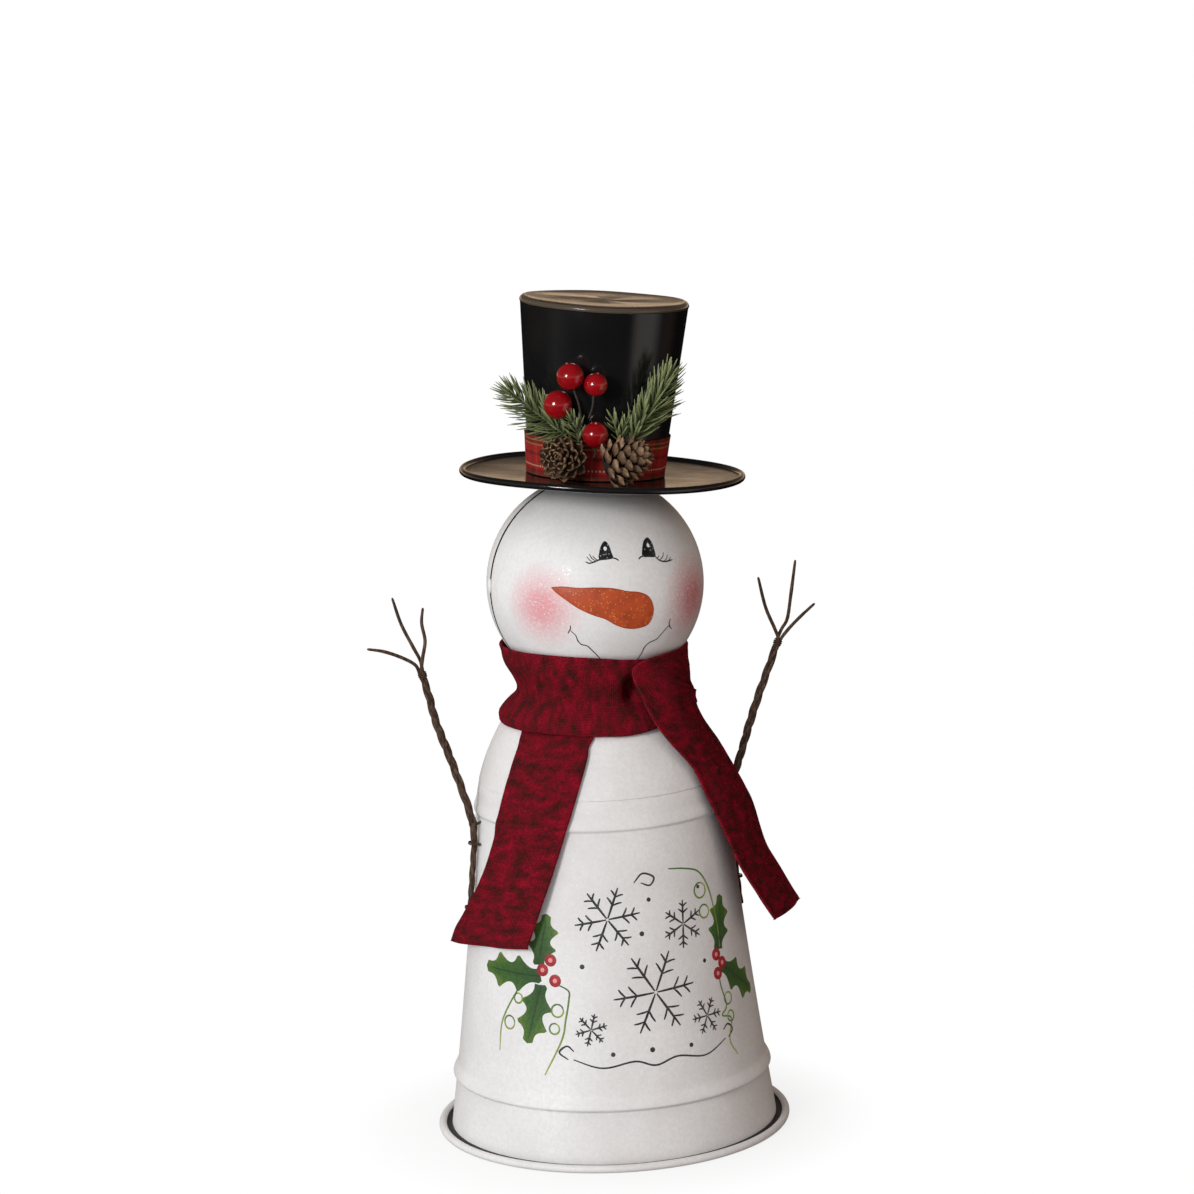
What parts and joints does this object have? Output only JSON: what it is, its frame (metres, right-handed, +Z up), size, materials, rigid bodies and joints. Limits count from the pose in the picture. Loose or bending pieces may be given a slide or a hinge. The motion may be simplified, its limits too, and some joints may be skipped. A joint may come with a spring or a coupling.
{
  "type": "snowman figure",
  "caption": "Free-standing snowman of painted sheet metal: tapered bucket body, ball head, top hat with winter pick, turning twig-like wire arms and a knitted scarf.",
  "frame": {"origin": "on the bucket's axis at the surface that the figure stands on", "axes": "+Z up, the figure faces -Y, +X to the viewer's right; left and right in node names are the viewer's"},
  "size_m": [0.287, 0.2188, 0.5172],
  "materials": {
    "white_paint": "white glitter paint, satin",
    "black_enamel": "gloss black enamel",
    "bare_steel": "zinc plated, dull",
    "brown_wrap": "steel wire wrapped in brown paper tape, matt",
    "red_knit": "red and black melange knit",
    "plaid_ribbon": "red plaid ribbon with gold and green stripes",
    "pine_scale": "dry pinecone scales, matt",
    "pine_needle": "moulded evergreen needles",
    "berry_red": "gloss red lacquer"
  },
  "bodies": {
    "figure": {"body_wall": "white_paint", "body_seam_strip": "white_paint", "body_cap": "white_paint", "neck_collar": "white_paint", "head_front_shell": "white_paint", "head_back_shell": "white_paint", "head_tack_left": "white_paint", "head_tack_right": "white_paint", "neck_bolt": "bare_steel", "neck_washer_upper": "bare_steel", "neck_washer_lower": "bare_steel", "neck_nut": "bare_steel", "hat_bolt": "bare_steel", "hat_washer_upper": "bare_steel", "hat_washer_lower": "bare_steel", "hat_nut": "bare_steel", "head_joint_strip_left": "bare_steel", "head_joint_strip_right": "bare_steel", "hat_brim": "black_enamel", "hat_crown": "black_enamel", "hat_top": "black_enamel", "hat_band": "plaid_ribbon", "pinecone_left": "pine_scale", "pinecone_right": "pine_scale", "berry_1": "berry_red", "berry_stem_1": "brown_wrap", "berry_2": "berry_red", "berry_stem_2": "brown_wrap", "berry_3": "berry_red", "berry_stem_3": "brown_wrap", "berry_4": "berry_red", "berry_stem_4": "brown_wrap", "sprig_left": "pine_needle", "sprig_right": "pine_needle", "sprig_middle": "pine_needle", "left_arm_clip_lower": "brown_wrap", "left_arm_clip_upper": "brown_wrap", "right_arm_clip_lower": "brown_wrap", "right_arm_clip_upper": "brown_wrap", "scarf_collar": "red_knit", "scarf_tail_left": "red_knit", "scarf_tail_right": "red_knit"},
    "left_arm": {"left_arm_wire_1": "brown_wrap", "left_arm_wire_2": "brown_wrap", "left_arm_wire_3": "brown_wrap"},
    "right_arm": {"right_arm_wire_1": "brown_wrap", "right_arm_wire_2": "brown_wrap", "right_arm_wire_3": "brown_wrap"}
  },
  "joints": [
    {"name": "left_arm_swivel", "type": "hinge", "parent": "figure", "child": "left_arm", "pos_m": [-0.08483, 0, 0.16], "axis": [0.1043, 0, 0.9945], "range_deg": [-60, 45]},
    {"name": "right_arm_swivel", "type": "hinge", "parent": "figure", "child": "right_arm", "pos_m": [0.08483, 0, 0.16], "axis": [-0.1043, 0, 0.9945], "range_deg": [-45, 60]}
  ]
}
